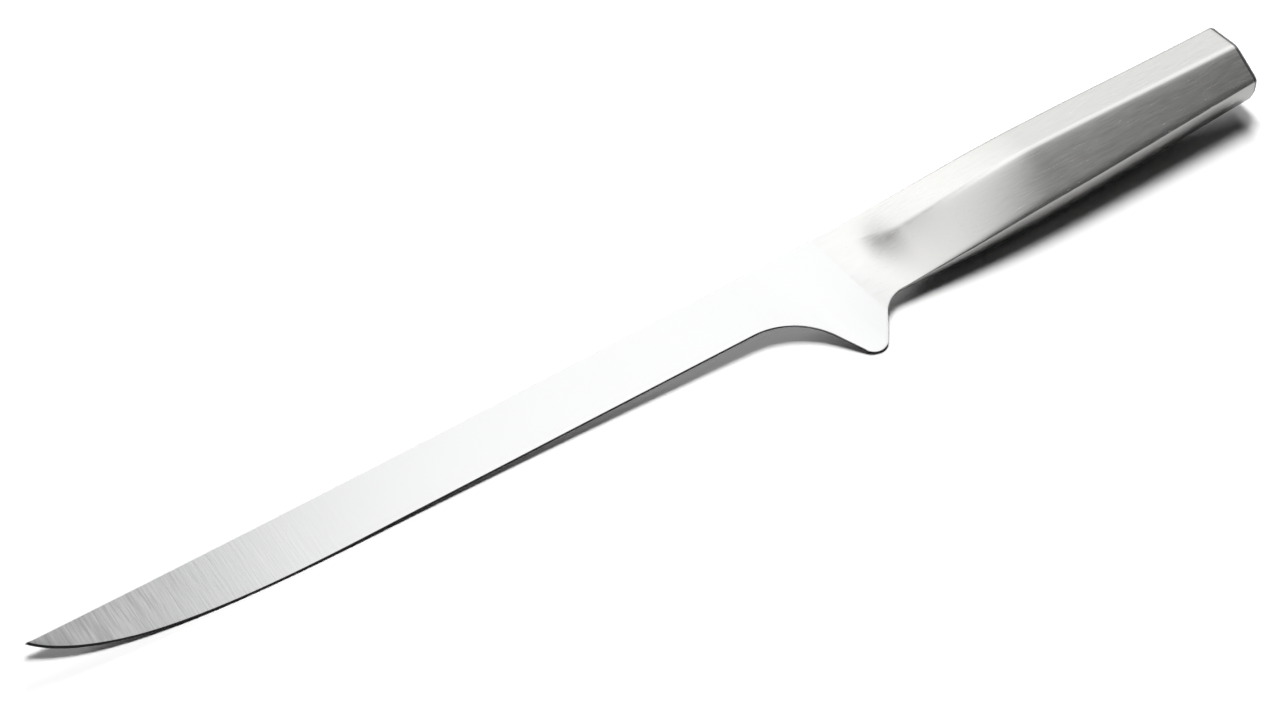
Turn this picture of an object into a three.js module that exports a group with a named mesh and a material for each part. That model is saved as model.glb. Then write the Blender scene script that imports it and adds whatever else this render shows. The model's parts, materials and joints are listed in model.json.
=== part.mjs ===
// A fillet knife, all of steel: a forged blade with finger guard and neck, and a hollow six-sided handle.
// Millimetres. The knife is drawn flat on its middle plane: +X runs towards the butt, +Y towards the spine,
// +Z out of the upper face. The blade's grind ends at X = 0 on the spine, and the spine is the line Y = 0.
// The finished knife is then laid on its side, as it lies on a table.
import * as THREE from "three";

const { clamp, degToRad, lerp, smoothstep } = THREE.MathUtils;

// Blade
const bladeLength = 200; // point to the end of the grind, along the spine
const heelHeight = 14; // spine to edge at the heel, where the straight stretch of the edge ends
const bellyHeight = 13.5; // spine to edge where the straight stretch begins
const bellyLength = 82; // curved stretch of the edge, measured back from the point
const bellyFullness = 50; // the belly holds its height up to about this far from the point
const pointRun = 12.5; // with the next value, the way the edge turns up into the point
const pointDrop = 12.6;
const spineRise = 1.3; // upsweep of the point
const sweepLength = 140; // stretch of the spine that sweeps up
const spineThickness = 2;
const pointThickness = 0.8;
const edgeThickness = 0.4; // behind the sharpened bevel
const bevelHeight = 0.7;
const edgeLand = 0.08; // flat left on the cutting edge
const spineChamfer = 0.25;

// Finger guard
const guardReach = 31.3; // spine to the lowest point of the guard
const guardSetback = 2.75; // centre of the guard's round end, in front of the grind's end
const guardRadius = 3.45;
const guardFrontAngle = 61; // degrees, flank to knife axis
const guardBackAngle = 55;
const guardThickness = 1.4;
const guardChamfer = 0.4;
const choilRadius = 18; // hollow in front of the guard
const throatRadius = 8; // hollow behind the guard, for the finger

// Handle
const handleLength = 115;
const neckLength = 30; // solid neck, from the grind's end to the handle shells
const handleDepth = 20.6; // spine to belly at the neck
const buttDepth = 17.6;
const depthTaperPower = 1.2; // above 1 the belly stays deep in front and slims towards the butt
const handleSwell = 0.5; // spine and belly each stand out this far in the middle of the handle
const handleWidth = 15.2; // across the two ridges, at their widest
const buttWidth = 13.2;
const ridgeDrop = 8.3; // spine to ridge
const spineFlat = 7.8;
const bellyFlat = 7.8;
const swellLength = 54; // from the grind's end to the full section of the handle
const ridgeSoftness = 1.2; // the ridge is rounded over this far on each side
const handleChamfer = 0.5;

// Inside the handle
const shellWall = 1;
const weldGap = 0.3; // between pieces that are welded edge to edge
const fitGap = 0.3; // between a plug and the shell round it
const spigotLength = 8; // step of the neck inside the shells
const tangLength = 26;
const tangHeight = 9;
const tangThickness = 2.5;

// Butt cap
const capThickness = 2;
const capRound = 0.8;
const capCrown = 0.4; // swell of the end face
const crownShare = 0.5; // part of the end face that lies at the full swell
const plugLength = 3;

// Steps along each curve
const bellySteps = 26;
const straightSteps = 8;
const arcSteps = 12;
const neckSteps = 10;
const shellSteps = 14;
const rimSteps = 3;

const seat = shellWall + fitGap; // handle surface to anything that plugs into the shells
const capStart = handleLength - capThickness;
const plugEnd = capStart - plugLength;
const spigotEnd = neckLength + spigotLength;
const tangEnd = spigotEnd + tangLength;

const steps = (count, make) => Array.from({ length: count + 1 }, (_, i) => make(i / count));
const alongLine = (count, from, to) => steps(count, (t) => from.clone().lerp(to, t));
const arc = (centre, radius, from, to) => steps(arcSteps, (t) => onCircle(centre, radius, lerp(from, to, t)));

function onCircle(centre, radius, degrees) {
  const angle = degToRad(degrees);
  return new THREE.Vector2(radius * Math.cos(angle), radius * Math.sin(angle)).add(centre);
}

// Where a line that leaves a point at an angle reaches the height y.
function meetHeight(from, degrees, y) {
  const run = (y - from.y) / Math.tan(degToRad(degrees));
  return new THREE.Vector2(from.x + run, y);
}

// Lower outline of the knife, in the order point, belly, straight edge, choil, guard, throat, neck.
const swellAt = (x) => handleSwell * Math.sin((Math.PI * clamp(x, 0, handleLength)) / handleLength) ** 2;
const sweepAt = (x) => spineRise * (Math.max(0, sweepLength - bladeLength - x) / sweepLength) ** 2;
const spineAt = (x) => sweepAt(x) + swellAt(x);
const point = new THREE.Vector2(-bladeLength, spineAt(-bladeLength));
const bellyEnd = new THREE.Vector2(bellyLength - bladeLength, -bellyHeight);
const belly = new THREE.CubicBezierCurve(
  point,
  new THREE.Vector2(pointRun - bladeLength, -pointDrop),
  new THREE.Vector2(bellyFullness - bladeLength, -bellyHeight),
  bellyEnd,
);

const guardCentre = new THREE.Vector2(-guardSetback, guardRadius - guardReach);
const guardFront = onCircle(guardCentre, guardRadius, 270 - guardFrontAngle);
const guardBack = onCircle(guardCentre, guardRadius, 270 + guardBackAngle);
const choilCorner = meetHeight(guardFront, 180 - guardFrontAngle, -heelHeight);
const choilTangent = choilRadius * Math.tan(degToRad(guardFrontAngle / 2));
const choilCentre = choilCorner.clone().add(new THREE.Vector2(-choilTangent, -choilRadius));
const throatCorner = meetHeight(guardBack, guardBackAngle, -handleDepth);
const throatTangent = throatRadius * Math.tan(degToRad(guardBackAngle / 2));
const throatCentre = throatCorner.clone().add(new THREE.Vector2(throatTangent, -throatRadius));

const choil = arc(choilCentre, choilRadius, 90, 90 - guardFrontAngle);
const guardEnd = arc(guardCentre, guardRadius, 270 - guardFrontAngle, 270 + guardBackAngle);
const throat = arc(throatCentre, throatRadius, 90 + guardBackAngle, 90);
const seamFoot = throat[0]; // the grind ends on a line from the spine to here
const seamLean = seamFoot.x / seamFoot.y;

// A slice across the knife holds the half widths at its spine, ridge and belly, and their depths below Y = 0.
function widthAt(slice, depth) {
  const { top, ridgeDepth, bottom } = slice;
  if (depth < ridgeDepth) return lerp(slice.spine, slice.ridge, (depth - top) / (ridgeDepth - top));
  return lerp(slice.ridge, slice.belly, (depth - ridgeDepth) / (bottom - ridgeDepth));
}

// The same slice with its whole surface moved inwards.
function inset(slice, distance) {
  const spineSlope = (slice.ridge - slice.spine) / (slice.ridgeDepth - slice.top);
  const bellySlope = (slice.belly - slice.ridge) / (slice.bottom - slice.ridgeDepth);
  const spineShift = distance * Math.hypot(1, spineSlope);
  const bellyShift = distance * Math.hypot(1, bellySlope);
  const ridgeMove = (spineShift - bellyShift) / (spineSlope - bellySlope);
  return {
    top: slice.top + distance,
    spine: slice.spine + spineSlope * distance - spineShift,
    ridgeDepth: slice.ridgeDepth + ridgeMove,
    ridge: slice.ridge + spineSlope * ridgeMove - spineShift,
    bottom: slice.bottom - distance,
    belly: slice.belly - bellySlope * distance - bellyShift,
  };
}

// The ridge as three points, each [depth, half width], on the curve that the sharp corner controls.
function softRidge(slice) {
  const { top, ridgeDepth, bottom } = slice;
  const first = ridgeDepth - Math.min(ridgeSoftness, (ridgeDepth - top) / 3);
  const last = ridgeDepth + Math.min(ridgeSoftness, (bottom - ridgeDepth) / 3);
  const ends = [first, last].map((depth) => [depth, widthAt(slice, depth)]);
  const middle = [ridgeDepth, slice.ridge].map((sharp, i) => (ends[0][i] + 2 * sharp + ends[1][i]) / 4);
  return [ends[0], middle, ends[1]];
}

const evenCut = (size) => ({ depth: size, width: size });

// Upper half of a slice from spine to belly, with its two corners cut off.
function upperHalf(slice, spineCut, bellyCut) {
  const spineSide = slice.top + spineCut.depth;
  const bellySide = slice.bottom - bellyCut.depth;
  return [
    [slice.top, slice.spine - spineCut.width],
    [spineSide, widthAt(slice, spineSide)],
    ...softRidge(slice),
    [bellySide, widthAt(slice, bellySide)],
    [slice.bottom, slice.belly - bellyCut.width],
  ];
}

const otherSide = (half) => half.map(([depth, width]) => [depth, -width]).reverse();
const bothSides = (half) => [...half, ...otherSide(half)];
const handleHalf = (slice) => upperHalf(slice, evenCut(handleChamfer), evenCut(handleChamfer));
const upright = (points, x) => points.map(([depth, width]) => new THREE.Vector3(x, -depth, width));

// A slice that leans from x at the spine to a foot on the lower outline.
function leaning(points, spineX, foot) {
  const spineY = spineAt(spineX);
  return points.map(([depth, width]) => {
    const x = lerp(spineX, foot.x, (depth + spineY) / (spineY - foot.y));
    return new THREE.Vector3(x, -depth, width);
  });
}

const endFaces = (ring) => {
  const outline = ring.map((corner) => new THREE.Vector2(corner.y, corner.z));
  return THREE.ShapeUtils.triangulateShape(outline, []);
};

// Closed surface through rings of equal count, from low X to high X. It may start at a single tip.
function loft(rings, tip) {
  const count = rings[0].length;
  const last = (rings.length - 1) * count;
  const corners = rings.flat();
  const faces = [];
  for (let start = 0; start < last; start += count) {
    for (let i = 0; i < count; i++) {
      const a = start + i;
      const b = start + ((i + 1) % count);
      faces.push(a, b, a + count, b, b + count, a + count);
    }
  }
  if (tip) {
    corners.push(tip);
    for (let i = 0; i < count; i++) faces.push(corners.length - 1, (i + 1) % count, i);
  } else {
    for (const [a, b, c] of endFaces(rings[0])) faces.push(a, c, b);
  }
  for (const [a, b, c] of endFaces(rings.at(-1))) faces.push(last + a, last + b, last + c);
  const geometry = new THREE.BufferGeometry().setFromPoints(corners).setIndex(faces);
  geometry.computeVertexNormals();
  return geometry;
}

// Slice of the ground blade or the guard, above a foot on the lower outline.
function bladeSlice(spineX, foot) {
  const guardShare = smoothstep(foot.x, choil[0].x, guardFront.x);
  const top = -spineAt(spineX);
  const bottom = -foot.y;
  const height = bottom - top;
  const ridgeShare = ridgeDrop / -seamFoot.y;
  const spine = lerp(spineThickness, pointThickness, clamp(-spineX / bladeLength, 0, 1)) / 2;
  const edge = lerp(edgeThickness, guardThickness, guardShare) / 2;
  const slice = { top, spine, ridgeDepth: top + height * ridgeShare, ridge: 0, bottom, belly: edge };
  slice.ridge = lerp(spine, edge, ridgeShare);
  const bevel = {
    depth: lerp(Math.min(bevelHeight, height / 3), guardChamfer, guardShare),
    width: lerp((edgeThickness - edgeLand) / 2, guardChamfer, guardShare),
  };
  return upperHalf(slice, evenCut(Math.min(spineChamfer, height / 6)), bevel);
}

// Slice of the neck or handle at a distance behind the seam.
function handleSlice(x, bottom = bellyDepthAt(x)) {
  const share = smoothstep(x, 0, swellLength);
  const ridgeShare = ridgeDrop / -seamFoot.y;
  const width = lerp(handleWidth, buttWidth, clamp((x - swellLength) / (handleLength - swellLength), 0, 1));
  const seamWidth = lerp(spineThickness, guardThickness, ridgeShare);
  const top = -spineAt(x);
  return {
    top,
    spine: lerp(spineThickness, spineFlat, share) / 2,
    ridgeDepth: top + ridgeDrop,
    ridge: lerp(seamWidth, width, share) / 2,
    bottom,
    belly: lerp(guardThickness, bellyFlat, share) / 2,
  };
}

function bellyDepthAt(x) {
  const share = clamp((x - neckLength) / (handleLength - neckLength), 0, 1);
  return lerp(handleDepth, buttDepth, share ** depthTaperPower) + swellAt(x);
}

// The forging: blade and guard, swelling neck, spigot and stub tang.
function bladeGeometry() {
  const bladeFeet = [
    ...belly.getPoints(bellySteps).slice(1),
    ...alongLine(straightSteps, bellyEnd, choil[0]).slice(1),
    ...choil.slice(1),
    ...guardEnd,
  ];
  const neckLine = alongLine(neckSteps, throat.at(-1), new THREE.Vector2(neckLength, -handleDepth)).slice(1);
  const neckFeet = [...throat, ...neckLine.map(({ x }) => new THREE.Vector2(x, -bellyDepthAt(x)))];
  const bladeRings = bladeFeet.map((foot) => {
    const spineX = foot.x - seamLean * foot.y;
    return leaning(bothSides(bladeSlice(spineX, foot)), spineX, foot);
  });
  const neckRings = neckFeet.map((foot) => {
    const upstanding = smoothstep(foot.x, seamFoot.x, neckLength);
    const spineX = foot.x - seamLean * foot.y * (1 - upstanding);
    return leaning(bothSides(neckHalf(spineX, -foot.y)), spineX, foot);
  });
  const rings = [...bladeRings, ...neckRings, ...spigotRings(), ...tangRings()];
  return loft(rings, new THREE.Vector3(point.x, point.y, 0));
}

// The neck's corners open from those of the guard and the spine to those of the handle.
function neckHalf(x, bottom) {
  const share = smoothstep(x, 0, neckLength);
  const spineCut = evenCut(lerp(spineChamfer, handleChamfer, share));
  const bellyCut = evenCut(lerp(guardChamfer, handleChamfer, share));
  return upperHalf(handleSlice(x, bottom), spineCut, bellyCut);
}

const plugRing = (x) => upright(bothSides(handleHalf(inset(handleSlice(x), seat))), x);
const handleRing = (x) => upright(bothSides(handleHalf(handleSlice(x))), x);
const spigotRings = () => [neckLength, spigotEnd].map(plugRing);

function tangRings() {
  const middle = bellyDepthAt(spigotEnd) / 2;
  const half = tangThickness / 2;
  const tang = {
    top: middle - tangHeight / 2,
    spine: half,
    ridgeDepth: middle,
    ridge: half,
    bottom: middle + tangHeight / 2,
    belly: half,
  };
  const outline = bothSides(upperHalf(tang, evenCut(spineChamfer), evenCut(spineChamfer)));
  return [spigotEnd, tangEnd].map((x) => upright(outline, x));
}

// One pressed half of the handle: an open channel whose rims lie half a weld gap from the middle plane.
function shellGeometry(shellSide) {
  const rim = weldGap / 2;
  const stations = steps(shellSteps, (t) => lerp(neckLength + weldGap, capStart - weldGap, t));
  const rings = stations.map((x) => {
    const outside = handleSlice(x);
    const inside = inset(outside, shellWall);
    const channel = [
      [outside.top, rim],
      ...handleHalf(outside),
      [outside.bottom, rim],
      [inside.bottom, rim],
      [inside.bottom, inside.belly],
      [inside.ridgeDepth, inside.ridge],
      [inside.top, inside.spine],
      [inside.top, rim],
    ];
    return upright(shellSide(channel), x);
  });
  return loft(rings);
}

// End plate with a plug inside the shells, a rounded rim and a slightly swollen end face.
function capGeometry() {
  const rimRings = steps(rimSteps, (t) => {
    const turn = (t * Math.PI) / 2;
    const slice = inset(handleSlice(handleLength), capRound * (1 - Math.cos(turn)));
    return upright(bothSides(handleHalf(slice)), handleLength - capRound * (1 - Math.sin(turn)));
  });
  const middle = new THREE.Vector3(handleLength, -buttDepth / 2, 0);
  const crown = rimRings.at(-1).map((p) => p.clone().lerp(middle, crownShare).setX(handleLength + capCrown));
  return loft([plugRing(plugEnd), plugRing(capStart), handleRing(capStart), ...rimRings, crown]);
}

const groundSteel = new THREE.MeshStandardMaterial({ color: 0xd6d9da, metalness: 1, roughness: 0.3 });
const satinSteel = new THREE.MeshStandardMaterial({ color: 0xc9cac8, metalness: 1, roughness: 0.36 });

function piece(name, geometry, material) {
  const mesh = new THREE.Mesh(geometry, material);
  mesh.name = name;
  return mesh;
}

const knife = new THREE.Group();
knife.add(
  piece("blade", bladeGeometry(), groundSteel),
  piece("handle_shell_upper", shellGeometry((channel) => channel), satinSteel),
  piece("handle_shell_lower", shellGeometry(otherSide), satinSteel),
  piece("butt_cap", capGeometry(), satinSteel),
);

// On a table the knife rests on its guard, on the belly of the blade and on the front of the lower ridge.
function layDown(group) {
  const [, [ridgeDepth, ridgeHalf]] = softRidge(handleSlice(swellLength));
  const guardFoot = new THREE.Vector3(-guardSetback, -guardReach, guardChamfer - guardThickness / 2);
  const ridgeFoot = new THREE.Vector3(swellLength, -ridgeDepth, -ridgeHalf);
  const mid = belly.getPoint(0.5);
  const bellyFoot = new THREE.Vector3(mid.x, mid.y, -edgeLand / 2);
  const up = ridgeFoot.sub(guardFoot).cross(bellyFoot.sub(guardFoot)).normalize();
  group.quaternion.setFromUnitVectors(up, new THREE.Vector3(0, 0, 1));
  const box = new THREE.Box3().setFromObject(group, true);
  const centre = box.getCenter(new THREE.Vector3());
  group.position.set(-centre.x, -centre.y, -box.min.z);
}

layDown(knife);

const part = new THREE.Group();
part.add(knife);

export default part;
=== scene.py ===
# %% [markdown]
# # A fillet knife, from solids to steel
# The real knife is steel from point to butt: a forged blade that swells into its neck, two pressed handle
# shells and a butt cap, welded together and ground until no joint shows. The solids come in first, as a
# fixed frame. They give the knife's size and place, and the pieces made below take over from them on
# screen.

# %% Load the solids
import json
import math
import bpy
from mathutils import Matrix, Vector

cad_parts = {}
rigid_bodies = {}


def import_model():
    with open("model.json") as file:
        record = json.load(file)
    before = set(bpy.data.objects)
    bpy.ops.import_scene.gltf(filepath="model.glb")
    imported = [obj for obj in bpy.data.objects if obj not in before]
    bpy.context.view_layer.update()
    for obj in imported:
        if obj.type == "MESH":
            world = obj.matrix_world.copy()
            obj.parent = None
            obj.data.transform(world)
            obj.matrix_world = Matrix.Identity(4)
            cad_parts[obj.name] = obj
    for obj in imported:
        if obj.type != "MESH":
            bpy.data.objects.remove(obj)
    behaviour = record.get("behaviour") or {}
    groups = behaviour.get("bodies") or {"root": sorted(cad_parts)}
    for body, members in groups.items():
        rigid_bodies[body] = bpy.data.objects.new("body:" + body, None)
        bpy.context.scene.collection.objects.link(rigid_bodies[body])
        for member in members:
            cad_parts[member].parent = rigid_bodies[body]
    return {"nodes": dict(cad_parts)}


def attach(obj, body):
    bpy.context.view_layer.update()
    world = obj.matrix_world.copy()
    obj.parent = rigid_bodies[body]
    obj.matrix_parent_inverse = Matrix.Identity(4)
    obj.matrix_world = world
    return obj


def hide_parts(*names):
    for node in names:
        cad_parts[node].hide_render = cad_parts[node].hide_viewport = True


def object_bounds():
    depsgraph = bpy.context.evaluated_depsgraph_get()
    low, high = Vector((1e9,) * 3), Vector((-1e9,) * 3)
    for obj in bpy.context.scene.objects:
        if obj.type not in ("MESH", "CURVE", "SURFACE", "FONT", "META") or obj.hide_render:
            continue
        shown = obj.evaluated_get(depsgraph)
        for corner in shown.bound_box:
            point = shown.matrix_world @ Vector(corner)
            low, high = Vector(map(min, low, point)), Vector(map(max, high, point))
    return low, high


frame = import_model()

from types import SimpleNamespace

import bpy
from mathutils import Matrix, Vector
from mathutils.geometry import interpolate_bezier

solid_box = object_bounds()
print("solids", sorted(frame["nodes"]), "from", solid_box[0], "to", solid_box[1])

# %% [markdown]
# ## The lower outline
# Seen from the side, a fillet knife is a nearly straight spine and a lively lower outline: the belly that
# rises to the point, the straight edge, the hollow in front of the guard, the guard's round end, the hollow
# for the finger and the underside of the handle. Drawn by eye as one freehand curve, it would lose its true
# radii. So it is built as a draughtsman does it, from one curve, straight lines and arcs that touch. The
# drawing is in millimetres on the knife's middle plane: X runs to the butt, Y to the spine, Z is the
# thickness.

# %% Draw the lower outline
BLADE_LENGTH = 200
HEEL_HEIGHT = 14
BELLY_HEIGHT = 13.5
BELLY_LENGTH = 82
BELLY_FULLNESS = 50
POINT_RUN = 12.5
POINT_DROP = 12.6
SPINE_RISE = 1.3
SWEEP_LENGTH = 140
GUARD_REACH = 31.3
GUARD_SETBACK = 2.75
GUARD_RADIUS = 3.45
GUARD_FRONT = 61
GUARD_BACK = 55
CHOIL_RADIUS = 18
THROAT_RADIUS = 8
HANDLE_LENGTH = 115
NECK_LENGTH = 30
HANDLE_DEPTH = 20.6
BUTT_DEPTH = 17.6
TAPER_POWER = 1.2
HANDLE_SWELL = 0.5
CAP_START = 113
CAP_ROUND = 1.3
RIM_START = HANDLE_LENGTH - CAP_ROUND
BELLY_POINTS = 90
EDGE_STEPS = 30
CHOIL_STEPS = 24
GUARD_STEPS = 30
THROAT_STEPS = 20
NECK_STEPS = 36
HANDLE_STEPS = 60


def mix(a, b, share):
    return a + (b - a) * share


def along(x, low, high):
    return min(max((x - low) / (high - low), 0), 1)


def ease(x, low, high):
    share = along(x, low, high)
    return share * share * (3 - 2 * share)


def shares(count):
    return [i / count for i in range(count + 1)]


def swell_at(x):
    return HANDLE_SWELL * math.sin(math.pi * along(x, 0, HANDLE_LENGTH)) ** 2


def spine_at(x):
    sweep = max(0, SWEEP_LENGTH - BLADE_LENGTH - x) / SWEEP_LENGTH
    return SPINE_RISE * sweep**2 + swell_at(x)


def belly_depth_at(x):
    share = along(x, NECK_LENGTH, HANDLE_LENGTH)
    return mix(HANDLE_DEPTH, BUTT_DEPTH, share**TAPER_POWER) + swell_at(x)


def arc(centre, radius, start, end, count):
    angles = [math.radians(mix(start, end, t)) for t in shares(count)]
    return [centre + radius * Vector((math.cos(a), math.sin(a))) for a in angles]


def meet_height(start, degrees, height):
    run = (height - start.y) / math.tan(math.radians(degrees))
    return Vector((start.x + run, height))


def straight(start, end, count):
    return [start.lerp(end, t) for t in shares(count)]


point = Vector((-BLADE_LENGTH, spine_at(-BLADE_LENGTH)))
belly_end = Vector((BELLY_LENGTH - BLADE_LENGTH, -BELLY_HEIGHT))
point_pull = Vector((POINT_RUN - BLADE_LENGTH, -POINT_DROP))
belly_pull = Vector((BELLY_FULLNESS - BLADE_LENGTH, -BELLY_HEIGHT))
belly = interpolate_bezier(point, point_pull, belly_pull, belly_end, BELLY_POINTS)

guard_centre = Vector((-GUARD_SETBACK, GUARD_RADIUS - GUARD_REACH))
guard = arc(guard_centre, GUARD_RADIUS, 270 - GUARD_FRONT, 270 + GUARD_BACK, GUARD_STEPS)
choil_corner = meet_height(guard[0], 180 - GUARD_FRONT, -HEEL_HEIGHT)
choil_reach = CHOIL_RADIUS * math.tan(math.radians(GUARD_FRONT / 2))
choil_centre = choil_corner + Vector((-choil_reach, -CHOIL_RADIUS))
choil = arc(choil_centre, CHOIL_RADIUS, 90, 90 - GUARD_FRONT, CHOIL_STEPS)
throat_corner = meet_height(guard[-1], GUARD_BACK, -HANDLE_DEPTH)
throat_reach = THROAT_RADIUS * math.tan(math.radians(GUARD_BACK / 2))
throat_centre = throat_corner + Vector((throat_reach, -THROAT_RADIUS))
throat = arc(throat_centre, THROAT_RADIUS, 90 + GUARD_BACK, 90, THROAT_STEPS)
seam_foot = throat[0]
seam_lean = seam_foot.x / seam_foot.y

edge_feet = straight(belly_end, choil[0], EDGE_STEPS)
blade_feet = belly + edge_feet[1:] + choil[1:] + guard
neck_xs = [mix(throat[-1].x, NECK_LENGTH, t) for t in shares(NECK_STEPS)][1:]
handle_xs = [mix(NECK_LENGTH, CAP_START, t) for t in shares(HANDLE_STEPS)][1:] + [RIM_START]
neck_feet = throat + [Vector((x, -belly_depth_at(x))) for x in neck_xs]
handle_feet = [Vector((x, -belly_depth_at(x))) for x in handle_xs]
print("outline points:", len(blade_feet), "blade,", len(neck_feet), "neck,", len(handle_feet), "handle")

# %% [markdown]
# ## Slices across the knife
# A blade is a wedge, thick at the spine and thin at the edge, with a narrow sharpened bevel that grows
# towards the point. The handle is a six-sided bar: a flat spine, a slightly crowned belly and a ridge on
# each side. Both can be told by the same few corners, so one kind of slice serves for the whole knife and
# the neck is simply the stretch where its numbers change. Each slice is half of the knife's section, from
# the spine to the belly. Its corners are rounded as a grinding belt leaves them, but the line between the
# blade's flat and its bevel stays crisp. Two holding points beside the roundings keep the upper facet flat,
# the lower facet swells a little below the ridge, and in the neck the ridge sets in with a small steep toe.

# %% Describe the slices
SPINE_THICKNESS = 2
POINT_THICKNESS = 1.1
EDGE_THICKNESS = 0.45
EDGE_LAND = 0.06
BEVEL_HEIGHT = 0.28
POINT_BEVEL = 0.6
POINT_EDGE = 0.7
POINT_BLEND = (4, 26)
BLADE_ROUND = 0.3
GUARD_THICKNESS = 0.55
GUARD_ROUND = 0.1
SPINE_ROUND = 0.8
BELLY_ROUND = 0.4
BELLY_REACH = 2.4
BELLY_CROWN = 0.5
CROWN_FULLNESS = 0.75
HANDLE_WIDTH = 15.2
BUTT_WIDTH = 13.2
SPINE_FLAT = 7.8
BELLY_FLAT = 7.2
SWELL_LENGTH = 54
RIDGE_DROP = 8.3
RIDGE_SHARE = RIDGE_DROP / -seam_foot.y
RIDGE_ROUND = 0.9
FACET_CROWN = 0.19
FACET_CROWN_PLACE = 0.25
NECK_RIDGE_ROUND = 3.5
ROUND_BLEND = (5, 18)
TOE_HEIGHT = 0.46
TOE_RISE = (6, 18)
TOE_FALL = (18, 50)
BEVEL_LIMIT = 0.625
ROUND_LIMIT = 6


def blade_slice(spine_x, foot):
    guard_share = ease(foot.x, choil[0].x, guard[0].x)
    slimmed = ease(foot.x + BLADE_LENGTH, *POINT_BLEND)
    bevel = mix(POINT_BEVEL, BEVEL_HEIGHT, slimmed)
    edge_thickness = mix(POINT_EDGE, EDGE_THICKNESS, slimmed)
    top = -spine_at(spine_x)
    height = -foot.y - top
    spine = mix(SPINE_THICKNESS, POINT_THICKNESS, along(-spine_x, 0, BLADE_LENGTH)) / 2
    edge = mix(edge_thickness, GUARD_THICKNESS, guard_share) / 2
    belly_cut = mix(min(bevel, height * BEVEL_LIMIT), GUARD_ROUND, guard_share)
    flat_height = height * (1 - RIDGE_SHARE) - belly_cut
    return SimpleNamespace(
        top=top,
        spine=spine,
        spine_round=min(BLADE_ROUND, height / ROUND_LIMIT),
        ridge_depth=top + height * RIDGE_SHARE,
        ridge=mix(spine, edge, RIDGE_SHARE),
        ridge_round=min(NECK_RIDGE_ROUND, flat_height / ROUND_LIMIT),
        facet_crown=0,
        bottom=-foot.y,
        belly=edge,
        belly_cut=belly_cut,
        belly_narrowing=mix((edge_thickness - EDGE_LAND) / 2, GUARD_ROUND, guard_share),
        belly_fullness=guard_share,
        belly_crown=0,
    )


def handle_slice(x, depth):
    swollen = ease(x, 0, SWELL_LENGTH)
    top = -spine_at(x)
    seam_width = mix(SPINE_THICKNESS, GUARD_THICKNESS, RIDGE_SHARE)
    full_width = mix(HANDLE_WIDTH, BUTT_WIDTH, along(x, SWELL_LENGTH, HANDLE_LENGTH))
    toe = TOE_HEIGHT * (ease(x, *TOE_RISE) - ease(x, *TOE_FALL))
    return SimpleNamespace(
        top=top,
        spine=mix(SPINE_THICKNESS, SPINE_FLAT, swollen) / 2,
        spine_round=mix(BLADE_ROUND, SPINE_ROUND, swollen),
        ridge_depth=top + RIDGE_DROP,
        ridge=mix(seam_width, full_width, swollen) / 2 + toe,
        ridge_round=mix(NECK_RIDGE_ROUND, RIDGE_ROUND, ease(x, *ROUND_BLEND)),
        facet_crown=FACET_CROWN * swollen,
        bottom=depth,
        belly=mix(GUARD_THICKNESS, BELLY_FLAT, swollen) / 2,
        belly_cut=mix(GUARD_ROUND, BELLY_REACH, swollen),
        belly_narrowing=mix(GUARD_ROUND, BELLY_ROUND, swollen),
        belly_fullness=1,
        belly_crown=BELLY_CROWN * swollen,
    )


print("the ridge lies at", RIDGE_SHARE, "of the blade's height")

# %% Round half a section
HOLD = 0.04
SHOULDER_HOLD = 0.2
SPINE_STEPS = 5
RIDGE_STEPS = 8
FACET_STEPS = 8
BEVEL_STEPS = 5
CREST_STEPS = 4


def curve(start, pull, end, count):
    return [start.lerp(pull, t).lerp(pull.lerp(end, t), t) for t in shares(count)]


def rounded(before, corner, after, reach, count):
    start = corner + (before - corner).normalized() * reach
    end = corner + (after - corner).normalized() * reach
    return curve(start, corner, end, count)


def holding(start, end):
    return [start.lerp(end, HOLD), end.lerp(start, HOLD)]


def half_section(cut):
    spine_middle = Vector((cut.top, 0))
    spine = Vector((cut.top, cut.spine))
    ridge = Vector((cut.ridge_depth, cut.ridge))
    belly_corner = Vector((cut.bottom, cut.belly))
    shoulder = belly_corner.lerp(ridge, cut.belly_cut / (cut.bottom - cut.ridge_depth))
    edge = Vector((cut.bottom, cut.belly - cut.belly_narrowing))
    pull = shoulder.lerp(edge, 0.5).lerp(belly_corner, cut.belly_fullness)
    crest = Vector((cut.bottom + cut.belly_crown, 0))
    crest_pull = Vector((cut.bottom + cut.belly_crown * CROWN_FULLNESS, edge.y / 2))
    facet_pull = ridge.lerp(shoulder, FACET_CROWN_PLACE) + Vector((0, cut.facet_crown))
    spine_bend = rounded(spine_middle, spine, ridge, cut.spine_round, SPINE_STEPS)
    ridge_bend = rounded(spine, ridge, facet_pull, cut.ridge_round, RIDGE_STEPS)
    facet = curve(ridge_bend[-1], facet_pull, shoulder, FACET_STEPS)
    return [
        spine_middle,
        *spine_bend,
        *holding(spine_bend[-1], ridge_bend[0]),
        *ridge_bend,
        *facet[1:-1],
        facet[-1].lerp(facet[-2], SHOULDER_HOLD),
        *curve(shoulder, pull, edge, BEVEL_STEPS),
        *curve(edge, crest_pull, crest, CREST_STEPS)[1:],
    ]


print("points in half a section:", len(half_section(handle_slice(NECK_LENGTH, HANDLE_DEPTH))))

# %% Set the slices along the outline
def leaning(section, spine_x, foot):
    spine_y = spine_at(spine_x)
    lean = (foot.x - spine_x) / (spine_y - foot.y)
    return [Vector((spine_x + lean * (depth + spine_y), -depth, width)) for depth, width in section]


def blade_row(foot):
    spine_x = foot.x - seam_lean * foot.y
    return leaning(half_section(blade_slice(spine_x, foot)), spine_x, foot)


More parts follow.
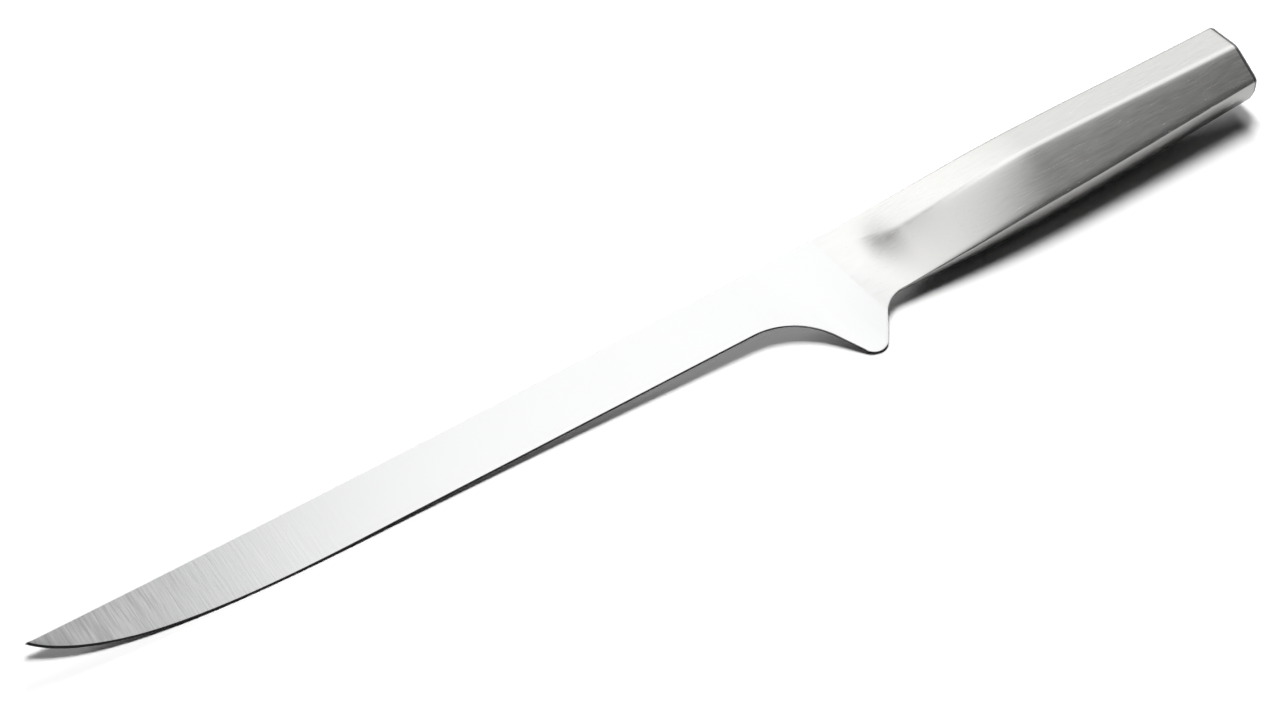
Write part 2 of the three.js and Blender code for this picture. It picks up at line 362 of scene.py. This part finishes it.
def handle_row(foot):
    lean = seam_lean * (1 - ease(foot.x, seam_foot.x, NECK_LENGTH))
    spine_x = foot.x - lean * foot.y
    return leaning(half_section(handle_slice(spine_x, -foot.y)), spine_x, foot)


rows = [blade_row(foot) for foot in blade_feet[1:]]
rows += [handle_row(foot) for foot in neck_feet + handle_feet]
rows.insert(0, [Vector((point.x, point.y, 0))] * len(rows[0]))
print("slices:", len(rows))

# %% [markdown]
# ## A sheet to wrap round the slices
# Extruding a bar from slice to slice would work, but then nothing says which faces lie where. A flat grid
# with one column for each slice is easier: while it is still flat, its faces are chosen by their column and
# row. The strip of the sharpened edge, up to the guard, and the neck get their own material slots, and the
# crisp lines are marked sharp. The grid's own map, which runs along and across the sheet, stays with it and
# later tells the shader which way the brushing goes.

# %% Add the flat sheet
columns = len(rows)
points_in_row = len(rows[0])
bpy.ops.object.select_all(action="DESELECT")
bpy.ops.mesh.primitive_grid_add(x_subdivisions=columns - 1, y_subdivisions=points_in_row - 1, size=2)
blade = bpy.context.object
blade.name = "blade_steel"


def sheet_place(spot):
    return (spot.x + 1) / 2 * (columns - 1), (spot.y + 1) / 2 * (points_in_row - 1)


print("sheet:", len(blade.data.vertices), "points for", columns, "columns of", points_in_row)

# %% Mark the bevel, the neck and the crisp lines
FLAT_SLOT, BEVEL_SLOT, NECK_SLOT = range(3)
EDGE_POINTS = BEVEL_STEPS + CREST_STEPS
shoulder_row = points_in_row - 1 - EDGE_POINTS
bevel_columns = len(blade_feet) - len(guard) - len(choil) // 2
guard_column = len(blade_feet) - len(guard)
seam_column = len(blade_feet)

for face in blade.data.polygons:
    column, row = sheet_place(face.center)
    if column > seam_column:
        face.material_index = NECK_SLOT
    elif row > shoulder_row and column < guard_column:
        face.material_index = BEVEL_SLOT
    else:
        face.material_index = FLAT_SLOT

sharp = blade.data.attributes.new("sharp_edge", "BOOLEAN", "EDGE")
for edge in blade.data.edges:
    ends = [sheet_place(blade.data.vertices[i].co) for i in edge.vertices]
    on_shoulder = all(round(row) == shoulder_row and column < bevel_columns for column, row in ends)
    sharp.data[edge.index].value = on_shoulder
print("bevel faces:", sum(face.material_index == BEVEL_SLOT for face in blade.data.polygons))

# %% Wrap the sheet round the slices
MERGE_DISTANCE = 0.001

for vertex in blade.data.vertices:
    column, row = sheet_place(vertex.co)
    vertex.co = rows[round(column)][round(row)]

bpy.ops.object.modifier_add(type="MIRROR")
mirror = blade.modifiers[-1]
mirror.use_axis = (False, False, True)
mirror.merge_threshold = MERGE_DISTANCE
bpy.ops.object.modifier_apply(modifier=mirror.name)
bpy.ops.object.mode_set(mode="EDIT")
bpy.ops.mesh.select_all(action="SELECT")
bpy.ops.mesh.remove_doubles(threshold=MERGE_DISTANCE)
bpy.ops.mesh.normals_make_consistent(inside=False)
bpy.ops.object.mode_set(mode="OBJECT")
print("steel skin:", len(blade.data.polygons), "faces")

# %% [markdown]
# ## Handle and blade apart
# On the real knife the handle shells end at the neck, though the weld is ground away. The skin is cut in
# the same place, so that the two pieces share one ring of points and no step shows. The butt cap starts
# from the ring at the other end. Each cut is closed with a face, so that every piece is a closed body.

# %% Cut the handle off at the neck
SLACK = 0.01


def work_on(piece):
    bpy.ops.object.select_all(action="DESELECT")
    piece.select_set(True)
    bpy.context.view_layer.objects.active = piece


def clear_picks(piece, kind):
    bpy.ops.object.mode_set(mode="EDIT")
    bpy.ops.mesh.select_mode(type=kind)
    bpy.ops.mesh.select_all(action="DESELECT")
    bpy.ops.object.mode_set(mode="OBJECT")


def pick_faces(piece, wanted):
    clear_picks(piece, "FACE")
    for face in piece.data.polygons:
        face.select = wanted(face)
    bpy.ops.object.mode_set(mode="EDIT")


def pick_ring(piece, place):
    clear_picks(piece, "EDGE")
    for edge in piece.data.edges:
        edge.select = all(abs(piece.data.vertices[i].co.x - place) < SLACK for i in edge.vertices)
    bpy.ops.object.mode_set(mode="EDIT")


def part_off(name):
    before = set(bpy.data.objects)
    bpy.ops.mesh.separate(type="SELECTED")
    bpy.ops.object.mode_set(mode="OBJECT")
    taken = (set(bpy.data.objects) - before).pop()
    taken.name = name
    return taken


work_on(blade)
pick_faces(blade, lambda face: face.center.x > NECK_LENGTH)
handle = part_off("handle_steel")
print("blade:", len(blade.data.polygons), "faces, handle:", len(handle.data.polygons), "faces")

# %% Cut the cap off and close the cuts
work_on(handle)
pick_faces(handle, lambda face: face.center.x > CAP_START)
cap = part_off("butt_cap_steel")


def close_end(piece, place):
    work_on(piece)
    pick_ring(piece, place)
    bpy.ops.mesh.edge_face_add()
    bpy.ops.mesh.select_all(action="SELECT")
    bpy.ops.mesh.normals_make_consistent(inside=False)
    bpy.ops.object.mode_set(mode="OBJECT")


for piece, place in ((blade, NECK_LENGTH), (handle, NECK_LENGTH), (handle, CAP_START), (cap, CAP_START)):
    close_end(piece, place)
print("cap side:", len(cap.data.polygons), "faces")

# %% [markdown]
# ## The butt cap's end
# The cap is a small plate with a rounded rim and an end face that swells a little, so that it is kind to
# the palm. A bevel would round the rim as well, but the narrow faces at the corners would run into each
# other. So the open ring is drawn out in short steps: along a quarter circle for the rim, then over the low
# dome, and the last ring is merged into one point.

# %% Draw out the cap's end
CAP_CROWN = 0.4
RIM_STEPS = 6
DOME_SHARES = (0.92, 0.78, 0.6, 0.4, 0.2)
SIDE_SLOT, RIM_SLOT, END_SLOT = range(3)
cap_middle = (RIM_START, -belly_depth_at(RIM_START) / 2, 0)


def draw_out(ahead, depth_share, width_share):
    bpy.ops.mesh.extrude_edges_move(TRANSFORM_OT_translate={"value": (ahead, 0, 0)})
    bpy.ops.transform.resize(value=(1, depth_share, width_share), center_override=cap_middle)


work_on(cap)
pick_ring(cap, RIM_START)
reached = Vector((0, 0))
for share in shares(RIM_STEPS)[1:]:
    turn = math.pi / 2 * share
    goal = CAP_ROUND * Vector((math.sin(turn), 1 - math.cos(turn)))
    halves = (BUTT_DEPTH / 2, BUTT_WIDTH / 2)
    draw_out(goal.x - reached.x, *[(half - goal.y) / (half - reached.y) for half in halves])
    reached = goal
last = 1
for share in DOME_SHARES:
    draw_out(CAP_CROWN * (last**2 - share**2), share / last, share / last)
    last = share
bpy.ops.mesh.extrude_edges_move(TRANSFORM_OT_translate={"value": (CAP_CROWN * last**2, 0, 0)})
bpy.ops.mesh.merge(type="CENTER")
bpy.ops.mesh.select_all(action="SELECT")
bpy.ops.mesh.normals_make_consistent(inside=False)
bpy.ops.object.mode_set(mode="OBJECT")
for face in cap.data.polygons:
    if face.center.x > HANDLE_LENGTH:
        face.material_index = END_SLOT
    elif face.center.x > RIM_START:
        face.material_index = RIM_SLOT
    else:
        face.material_index = SIDE_SLOT
print("cap:", len(cap.data.polygons), "faces, end at", max(v.co.x for v in cap.data.vertices))

# %% [markdown]
# ## Lay the knife down
# On a table such a knife rests on its guard, on the belly of the blade and on the front of the handle's
# lower ridge, with the butt in the air. Two angles say it all: the spine is lifted because the guard props
# it up, and the butt is lifted because the handle is thick. The solids give the place: the pieces are moved
# until their common box lies on the box of the solids. The turn, the scale from millimetres and the move go
# into the meshes.

# %% Turn, scale and place the pieces
SPINE_LIFT = math.radians(12.928)
BUTT_LIFT = math.radians(1.655)
METRES = 0.001
SMOOTH_ANGLE = math.radians(32)

up = Vector((math.sin(BUTT_LIFT), math.sin(SPINE_LIFT), 0))
up.z = math.sqrt(1 - up.length_squared)
lie = up.rotation_difference(Vector((0, 0, 1))).to_matrix().to_4x4()
pieces = [blade, handle, cap]
for piece in pieces:
    piece.data.transform(Matrix.Scale(METRES, 4) @ lie)
lowest = [min(v.co[axis] for piece in pieces for v in piece.data.vertices) for axis in range(3)]
highest = [max(v.co[axis] for piece in pieces for v in piece.data.vertices) for axis in range(3)]
move = (solid_box[0] + solid_box[1] - Vector(lowest) - Vector(highest)) / 2
for piece in pieces:
    piece.data.transform(Matrix.Translation(move))
    work_on(piece)
    bpy.ops.object.shade_smooth_by_angle(angle=SMOOTH_ANGLE)
print("moved by", move, "box of the skin", [b - a for a, b in zip(lowest, highest)])

# %% [markdown]
# ## The bow of the blade
# A blade this long and slim is seldom dead straight. Its shadow on the table gives it away: between guard
# and belly the edge runs nearly a millimetre lower than a straight one would, and the point stands up a
# little. A bend modifier would turn the whole knife. So each point of the blade is moved by a wave that
# starts softly at the guard, down and a little towards the spine. The guard's round end is sunk until it
# touches the table. The same pass notes how close each point of the neck is to the blade, because the
# finish changes there.

# %% Bow the blade
BOW_LENGTH = 164
BOW_START = 35
BOW_DEEPEST = Vector((0, 0.75, -0.92))
GUARD_SINK = Vector((0, 0, -0.2))
BUFFED_LENGTH = 16


def bow_at(x):
    return math.sin(math.pi * -x / BOW_LENGTH) * ease(-x, 0, BOW_START)


def guard_at(x, y):
    return ease(-y, HEEL_HEIGHT, GUARD_REACH) * (1 - ease(x, 0, NECK_LENGTH))


upright = lie.inverted()
buffed = blade.data.attributes.new("buffed", "FLOAT", "POINT")
for vertex in blade.data.vertices:
    x, y, _ = upright @ (vertex.co - move) / METRES
    buffed.data[vertex.index].value = 1 - ease(x - seam_lean * y, 0, BUFFED_LENGTH)
    vertex.co += METRES * (BOW_DEEPEST * bow_at(x) + GUARD_SINK * guard_at(x, y))
print("the blade's lowest point is at", min(v.co.z for v in blade.data.vertices))

# %% [markdown]
# ## Ground steel for the blade
# The blade's flats are ground across, from spine to edge, on a belt. That leaves fine parallel lines,
# hardly deeper than a thousandth of a millimetre, and slight bands where the belt passed twice. A flat grey
# would look like paint. So a noise, stretched along the lines, drives the colour, the roughness and a very
# low bump, and the shader spreads its highlights along the blade, as fine parallel scratches do. Near
# the point the lines are plain to see. Further on they drown in bright mirrored light and can't be made
# out, so there the noise is drawn to its middle value and only a trace of the lines is left.

# %% Noise and what it drives
KNIFE_TURN = upright.to_euler()
NOISE_LOW = 0.3
NOISE_MIDDLE = 0.5
NOISE_HIGH = 0.7


def new_material(name):
    material = bpy.data.materials.new(name)
    material.use_nodes = True
    return material, material.node_tree.nodes, material.node_tree.links


def grain(nodes, links, scale, detail):
    place = nodes.new("ShaderNodeTexCoord")
    turn = nodes.new("ShaderNodeMapping")
    turn.inputs["Rotation"].default_value = KNIFE_TURN
    stretch = nodes.new("ShaderNodeMapping")
    stretch.inputs["Scale"].default_value = scale
    noise = nodes.new("ShaderNodeTexNoise")
    noise.inputs["Scale"].default_value = 1
    noise.inputs["Detail"].default_value = detail
    links.new(place.outputs["Object"], turn.inputs["Vector"])
    links.new(turn.outputs["Vector"], stretch.inputs["Vector"])
    links.new(stretch.outputs["Vector"], noise.inputs["Vector"])
    return noise.outputs["Fac"]


def spread(nodes, links, value, low, high):
    ramp = nodes.new("ShaderNodeMapRange")
    ramp.inputs["From Min"].default_value = NOISE_LOW
    ramp.inputs["From Max"].default_value = NOISE_HIGH
    ramp.inputs["To Min"].default_value = low
    ramp.inputs["To Max"].default_value = high
    links.new(value, ramp.inputs["Value"])
    return ramp.outputs["Result"]


def fade_along(nodes, links, axis, none, full, least=0):
    place = nodes.new("ShaderNodeTexCoord")
    split = nodes.new("ShaderNodeSeparateXYZ")
    level = nodes.new("ShaderNodeMapRange")
    level.interpolation_type = "SMOOTHSTEP"
    level.inputs["From Min"].default_value = none
    level.inputs["From Max"].default_value = full
    level.inputs["To Min"].default_value = least
    links.new(place.outputs["Object"], split.inputs["Vector"])
    links.new(split.outputs[axis], level.inputs["Value"])
    return level.outputs["Result"]


def calmed(nodes, links, value, share):
    calm = nodes.new("ShaderNodeMix")
    calm.inputs["A"].default_value = NOISE_MIDDLE
    links.new(share, calm.inputs["Factor"])
    links.new(value, calm.inputs["B"])
    return calm.outputs["Result"]


def blended(nodes, links, a, b, share):
    both = nodes.new("ShaderNodeMix")
    both.inputs["Factor"].default_value = share
    links.new(a, both.inputs["A"])
    links.new(b, both.inputs["B"])
    return both.outputs["Result"]


def tinted(nodes, links, value, dark, light):
    ramp = nodes.new("ShaderNodeValToRGB")
    low, high = ramp.color_ramp.elements
    low.position, high.position = NOISE_LOW, NOISE_HIGH
    low.color, high.color = (*dark, 1), (*light, 1)
    links.new(value, ramp.inputs["Fac"])
    return ramp.outputs["Color"]


print("the grain is turned by", KNIFE_TURN)

# %% Brush the steel
LINE_DETAIL = 4
BAND_DETAIL = 3


def brushed_steel(
    name, fine, broad, broad_share, dark, light, rough, bump_height, stretch, turn, fade=None
):
    material, nodes, links = new_material(name)
    steel = nodes["Principled BSDF"]
    steel.inputs["Metallic"].default_value = 1
    lines = grain(nodes, links, fine, LINE_DETAIL)
    bands = grain(nodes, links, broad, BAND_DETAIL)
    if fade:
        shown = fade_along(nodes, links, *fade)
        lines = calmed(nodes, links, lines, shown)
        bands = calmed(nodes, links, bands, shown)
    marks = blended(nodes, links, lines, bands, broad_share)
    links.new(tinted(nodes, links, marks, dark, light), steel.inputs["Base Color"])
    links.new(spread(nodes, links, marks, *rough), steel.inputs["Roughness"])
    bump = nodes.new("ShaderNodeBump")
    bump.inputs["Distance"].default_value = bump_height
    bump.inputs["Strength"].default_value = 1
    links.new(lines, bump.inputs["Height"])
    links.new(bump.outputs["Normal"], steel.inputs["Normal"])
    if stretch:
        steel.inputs["Anisotropic"].default_value = stretch
        steel.inputs["Anisotropic Rotation"].default_value = turn
        lengthwise = nodes.new("ShaderNodeTangent")
        lengthwise.direction_type = "UV_MAP"
        lengthwise.uv_map = "UVMap"
        links.new(lengthwise.outputs["Tangent"], steel.inputs["Tangent"])
    return material


print("noise detail:", LINE_DETAIL, "in the lines,", BAND_DETAIL, "in the bands")

# %% Make the ground steel
LINES_PLAIN = 40
LINES_CALM = 78
LINES_LEFT = 0.15

point_place = solid_box[0].x
plain_until = point_place + LINES_PLAIN * METRES
calm_from = point_place + LINES_CALM * METRES
flat_finish = brushed_steel(
    "blade_cross_ground",
    fine=(2300, 150, 150),
    broad=(260, 20, 20),
    broad_share=0.08,
    dark=(0.75, 0.753, 0.756),
    light=(0.78, 0.783, 0.786),
    rough=(0.12, 0.24),
    bump_height=0.000007,
    stretch=0.35,
    turn=0,
    fade=("X", calm_from, plain_until, LINES_LEFT),
)
print("made", flat_finish.name)

# %% [markdown]
# ## Honed steel for the bevel, painted dark
# The sharpened bevel is honed on a fine stone, so it is smoother than the flats and mirrors the dark side
# of the room as a thin black line. Its colour is also painted far darker than real steel, a painted shade
# that deepens that line. It gets the same grain, much finer and flatter. The rim of the butt cap is polished
# as smooth, and the same painted dark colour draws its dark line, so it shares the finish.

# %% Make the honed steel
bevel_painted_dark_finish = brushed_steel(
    "bevel_honed_painted_dark",
    fine=(5000, 400, 400),
    broad=(600, 60, 60),
    broad_share=0.4,
    # painted shade: a base colour far darker than real steel, so the bevel and the cap's rim read as black
    # lines
    dark=(0.27, 0.275, 0.28),
    light=(0.33, 0.335, 0.34),
    rough=(0.12, 0.2),
    bump_height=0.000001,
    stretch=0,
    turn=0,
)
print("made", bevel_painted_dark_finish.name)

# %% [markdown]
# ## Satin steel for the handle
# The handle is brushed lengthwise with a nylon wheel: short streaks, softer and a little warmer than the
# blade. The streaks run the other way, so the shader's highlight is turned by a quarter. Next to the blade
# the neck is buffed out, so that no line shows where the two finishes meet: the share kept in the mesh
# mixes in a lighter steel. The cap's end is finished last, in a circle, and shows no direction.

# %% Make the satin steel
SATIN = dict(
    fine=(220, 2200, 2200),
    broad=(45, 200, 200),
    broad_share=0.2,
    dark=(0.732, 0.728, 0.713),
    light=(0.797, 0.792, 0.777),
    rough=(0.22, 0.28),
    bump_height=0.000003,
)
BUFFED_LIGHT = (0.80, 0.80, 0.795, 1)
MIX_FACTOR, MIX_COLOUR_A, MIX_COLOUR_B, MIX_COLOUR = 0, 6, 7, 2


def buff_out(material):
    nodes, links = material.node_tree.nodes, material.node_tree.links
    base_colour = nodes["Principled BSDF"].inputs["Base Color"]
    brushed = base_colour.links[0].from_socket
    share = nodes.new("ShaderNodeAttribute")
    share.attribute_name = "buffed"
    lighter = nodes.new("ShaderNodeMix")
    lighter.data_type = "RGBA"
    lighter.inputs[MIX_COLOUR_B].default_value = BUFFED_LIGHT
    links.new(share.outputs["Fac"], lighter.inputs[MIX_FACTOR])
    links.new(brushed, lighter.inputs[MIX_COLOUR_A])
    links.new(lighter.outputs[MIX_COLOUR], base_colour)


handle_finish = brushed_steel("handle_satin", **SATIN, stretch=0.8, turn=0.25)
buff_out(handle_finish)
end_finish = brushed_steel("cap_end_satin", **SATIN, stretch=0, turn=0)
# the cap's rim takes the bevel's steel with its painted dark colour
for piece, finishes in (
    (blade, (flat_finish, bevel_painted_dark_finish, handle_finish)),
    (handle, (handle_finish,)),
    (cap, (handle_finish, bevel_painted_dark_finish, end_finish)),
):
    for finish in finishes:
        piece.data.materials.append(finish)
for face in handle.data.polygons:
    face.material_index = 0
print("made", handle_finish.name, "and", end_finish.name)

# %% [markdown]
# ## Pieces that stand for the solids
# Nothing on this knife moves, so every piece rides on the one body. Each piece stands for the solids whose
# surface it shows: the blade's steel for the forging, the handle's steel for both shells, the cap for the
# cap.

# %% Attach the pieces
for piece, slot, solids in (
    (blade, "ground_steel", ["blade"]),
    (handle, "satin_steel", ["handle_shell_upper", "handle_shell_lower"]),
    (cap, "satin_steel", ["butt_cap"]),
):
    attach(piece, "root")
    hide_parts(*solids)
print("attached", [piece.name for piece in pieces])

# %% [markdown]
# ## The camera
# The picture is taken from about a metre away with a long lens, from the edge's side and above the point,
# so that the knife runs from corner to corner. The directions to the right of the picture and away from the
# viewer are kept, because a studio is built round the camera: panels stand square to it.

# %% Set up the camera
CAMERA_AZIMUTH = math.radians(-34.98)
CAMERA_ELEVATION = math.radians(45.68)
CAMERA_DISTANCE = 0.9868
CAMERA_AIM = Vector((-0.00848, 0.00778, 0.008))
CAMERA_LENS = 127.71
SENSOR_WIDTH = 36

picture_right = Vector((math.cos(CAMERA_AZIMUTH), math.sin(CAMERA_AZIMUTH), 0))
away = Vector((-math.sin(CAMERA_AZIMUTH), math.cos(CAMERA_AZIMUTH), 0))
sight = away * math.cos(CAMERA_ELEVATION) - Vector((0, 0, math.sin(CAMERA_ELEVATION)))
lens = bpy.data.cameras.new("camera")
lens.lens = CAMERA_LENS
lens.sensor_width = SENSOR_WIDTH
lens.sensor_fit = "HORIZONTAL"
camera = bpy.data.objects.new("camera", lens)
bpy.context.scene.collection.objects.link(camera)
camera.location = CAMERA_AIM - sight * CAMERA_DISTANCE
camera.rotation_mode = "QUATERNION"
camera.rotation_quaternion = sight.to_track_quat("-Z", "Y")
bpy.context.scene.camera = camera
bpy.context.scene.view_settings.view_transform = "Standard"
print("camera at", camera.location)

# %% [markdown]
# ## A white table
# The knife lies on a seamless white surface. The camera sees it as white as it can be, so that it melts
# into the background, and it still takes the knife's shadow. The steel sees it greyer, which keeps the
# handle's underside as dark as on the real table, and light that has already bounced off the table sees it
# darker still, which keeps the shadow deep.

# %% Lay the floor
FLOOR_SIZE = 6
FLOOR_GREY = 0.2
FLOOR_MIRRORED = 0.46
FLOOR_WHITE = 1
FLOOR_ROUGHNESS = 0.9


def joined(nodes, links, operation, a, b):
    both = nodes.new("ShaderNodeMath")
    both.operation = operation
    links.new(a, both.inputs[0])
    links.new(b, both.inputs[1])
    return both.outputs["Value"]


bpy.ops.mesh.primitive_plane_add(size=FLOOR_SIZE)
floor = bpy.context.object
floor.name = "floor"
table_white, nodes, links = new_material("white_table")
surface = nodes["Principled BSDF"]
surface.inputs["Roughness"].default_value = FLOOR_ROUGHNESS
surface.inputs["Specular IOR Level"].default_value = 0
rays = nodes.new("ShaderNodeLightPath")
in_steel = nodes.new("ShaderNodeMix")
in_steel.inputs["A"].default_value = FLOOR_GREY
in_steel.inputs["B"].default_value = FLOOR_MIRRORED
first_mirror = joined(nodes, links, "SUBTRACT", rays.outputs["Is Glossy Ray"], rays.outputs["Diffuse Depth"])
links.new(first_mirror, in_steel.inputs["Factor"])
shade = nodes.new("ShaderNodeMix")
shade.inputs["B"].default_value = FLOOR_WHITE
links.new(rays.outputs["Is Camera Ray"], shade.inputs["Factor"])
links.new(in_steel.outputs["Result"], shade.inputs["A"])
links.new(shade.outputs["Result"], surface.inputs["Base Color"])
floor.data.materials.append(table_white)
print("floor", FLOOR_SIZE, "m wide")

# %% [markdown]
# ## Soft panels
# Steel shows what is around it. A wide panel hangs high on the right, a lower one on the left, and one
# stands behind. The blade and the handle's near facet mirror the right one, and its rims can be read off
# the knife: where the blade turns grey towards the point, where the facet darkens towards the butt, and the
# dark spot on the neck, which looks past the left rim. A last one beside it is there for the handle's
# ridge, which would go dull towards the butt. The left and the standing panel light the handle's far facet.
# All fade out at their rims, as a cloth softbox does, and only the steel sees them.

# %% Make a panel
def panel(name, place, tilt, turn, rims, strength):
    (left, _), (right, _), (low, _), (high, _) = rims
    bpy.ops.mesh.primitive_plane_add(size=1)
    cloth = bpy.context.object
    cloth.name = name
    stretch = Matrix.Diagonal((right - left, high - low, 1, 1))
    cloth.data.transform(Matrix.Translation(((left + right) / 2, (low + high) / 2, 0)) @ stretch)
    cloth.location = place
    cloth.rotation_euler = (tilt, 0, CAMERA_AZIMUTH + turn)
    cloth.visible_camera = False
    cloth.visible_diffuse = False
    cloth.visible_shadow = False
    glowing, nodes, links = new_material(name)
    nodes.remove(nodes["Principled BSDF"])
    glow = nodes.new("ShaderNodeEmission")
    glow.inputs["Strength"].default_value = strength
    air = nodes.new("ShaderNodeBsdfTransparent")
    fade = nodes.new("ShaderNodeMixShader")
    levels = [fade_along(nodes, links, axis, *rim) for axis, rim in zip("XXYY", rims)]
    cover = levels[0]
    for level in levels[1:]:
        cover = joined(nodes, links, "MULTIPLY", cover, level)
    links.new(cover, fade.inputs["Fac"])
    links.new(air.outputs["BSDF"], fade.inputs[1])
    links.new(glow.outputs["Emission"], fade.inputs[2])
    links.new(fade.outputs["Shader"], nodes["Material Output"].inputs["Surface"])
    cloth.data.materials.append(glowing)


print("stage so far:", floor.name)

# %% Hang the panels
OVERHEAD = Vector((0, 0, 0.6))
HIGH_OVERHEAD = Vector((0, 0, 1.2))
RIDGE_OVERHEAD = Vector((0, 0, 1.22))
BEHIND = away * 0.95
RIGHT_TURN = math.radians(14.5)
STANDING = math.pi / 2
RIGHT_RIMS = ((0.095, 0.23), (1.0, 0.39), (-0.95, 0.15), (1.5, 1.2))
LEFT_RIMS = ((-0.80, -0.60), (0.08, -0.02), (0.15, 0.27), (0.75, 0.65))
BACK_RIMS = ((-0.9, -0.6), (0.55, -0.35), (0.15, 0.40), (0.9, 0.75))
RIDGE_RIMS = ((0.45, 0.75), (1.7, 1.4), (0.15, 0.50), (1.5, 1.2))
RIGHT_GLOW = 1.345
LEFT_GLOW = 1.36
BACK_GLOW = 1.435
RIDGE_GLOW = 1.38

panel("right_panel", HIGH_OVERHEAD, 0, RIGHT_TURN, RIGHT_RIMS, RIGHT_GLOW)
panel("left_panel", OVERHEAD, 0, 0, LEFT_RIMS, LEFT_GLOW)
panel("back_panel", BEHIND, STANDING, 0, BACK_RIMS, BACK_GLOW)
panel("ridge_panel", RIDGE_OVERHEAD, 0, RIGHT_TURN, RIDGE_RIMS, RIDGE_GLOW)
print("panels hung")

# %% [markdown]
# ## Lamps and room
# A lamp behind the knife lights the table and throws the short shadow towards the viewer. A smaller one,
# low behind it, shines under the lifted blade and thins the shadow there. Both are left out of the mirror
# images, where the panels do the work. The room is dim on the viewer's side, which draws the dark lines
# along the lower corners and, together with the bevel's painted dark colour, along the sharpened edge.
# The background is white for the camera.

# %% Add the lamps
KEY_ELEVATION = math.radians(59.5)
KEY_DISTANCE = 1.3
KEY_POWER = 21.8
KEY_SIZE = 0.62
LOW_TURN = math.radians(-5.5)
LOW_ELEVATION = math.radians(14.5)
LOW_DISTANCE = 1.3
LOW_POWER = 13
LOW_SIZE = 0.19


def lamp(name, turn, elevation, distance, power, size):
    light = bpy.data.objects.new(name, bpy.data.lights.new(name, "AREA"))
    bpy.context.scene.collection.objects.link(light)
    side = away * math.cos(turn) + picture_right * math.sin(turn)
    towards_light = side * math.cos(elevation) + Vector((0, 0, math.sin(elevation)))
    light.location = CAMERA_AIM + towards_light * distance
    light.rotation_mode = "QUATERNION"
    light.rotation_quaternion = (-towards_light).to_track_quat("-Z", "Y")
    light.data.energy = power
    light.data.size = size
    light.visible_glossy = False
    return light


key = lamp("key", 0, KEY_ELEVATION, KEY_DISTANCE, KEY_POWER, KEY_SIZE)
low = lamp("low_light", LOW_TURN, LOW_ELEVATION, LOW_DISTANCE, LOW_POWER, LOW_SIZE)
print("key light at", key.location, "low light at", low.location)

# %% Light the room
ROOM_DIM = 0.012
ROOM_BACK = 0.5
ROOM_FRONT = 0.06
ROOM_FADE = (-0.5, 0.4)
ROOM_TURN = math.radians(37)
ROOM_WHITE = 1

world = bpy.data.worlds.new("studio")
bpy.context.scene.world = world
world.use_nodes = True
nodes, links = world.node_tree.nodes, world.node_tree.links
rays = nodes.new("ShaderNodeLightPath")
towards = nodes.new("ShaderNodeTexCoord")
depth = nodes.new("ShaderNodeVectorMath")
depth.operation = "DOT_PRODUCT"
depth.inputs[1].default_value = away * math.cos(ROOM_TURN) - picture_right * math.sin(ROOM_TURN)
links.new(towards.outputs["Generated"], depth.inputs[0])
mirrored = nodes.new("ShaderNodeMapRange")
mirrored.inputs["From Min"].default_value = ROOM_FADE[0]
mirrored.inputs["From Max"].default_value = ROOM_FADE[1]
mirrored.inputs["To Min"].default_value = ROOM_FRONT
mirrored.inputs["To Max"].default_value = ROOM_BACK
links.new(depth.outputs["Value"], mirrored.inputs["Value"])
in_steel = nodes.new("ShaderNodeMix")
in_steel.inputs["A"].default_value = ROOM_DIM
links.new(rays.outputs["Is Glossy Ray"], in_steel.inputs["Factor"])
links.new(mirrored.outputs["Result"], in_steel.inputs["B"])
seen = nodes.new("ShaderNodeMix")
seen.inputs["B"].default_value = ROOM_WHITE
links.new(rays.outputs["Is Camera Ray"], seen.inputs["Factor"])
links.new(in_steel.outputs["Result"], seen.inputs["A"])
links.new(seen.outputs["Result"], nodes["Background"].inputs["Strength"])
nodes["Background"].inputs["Color"].default_value = (1, 1, 1, 1)
print("room mirrored from", ROOM_FRONT, "to", ROOM_BACK)
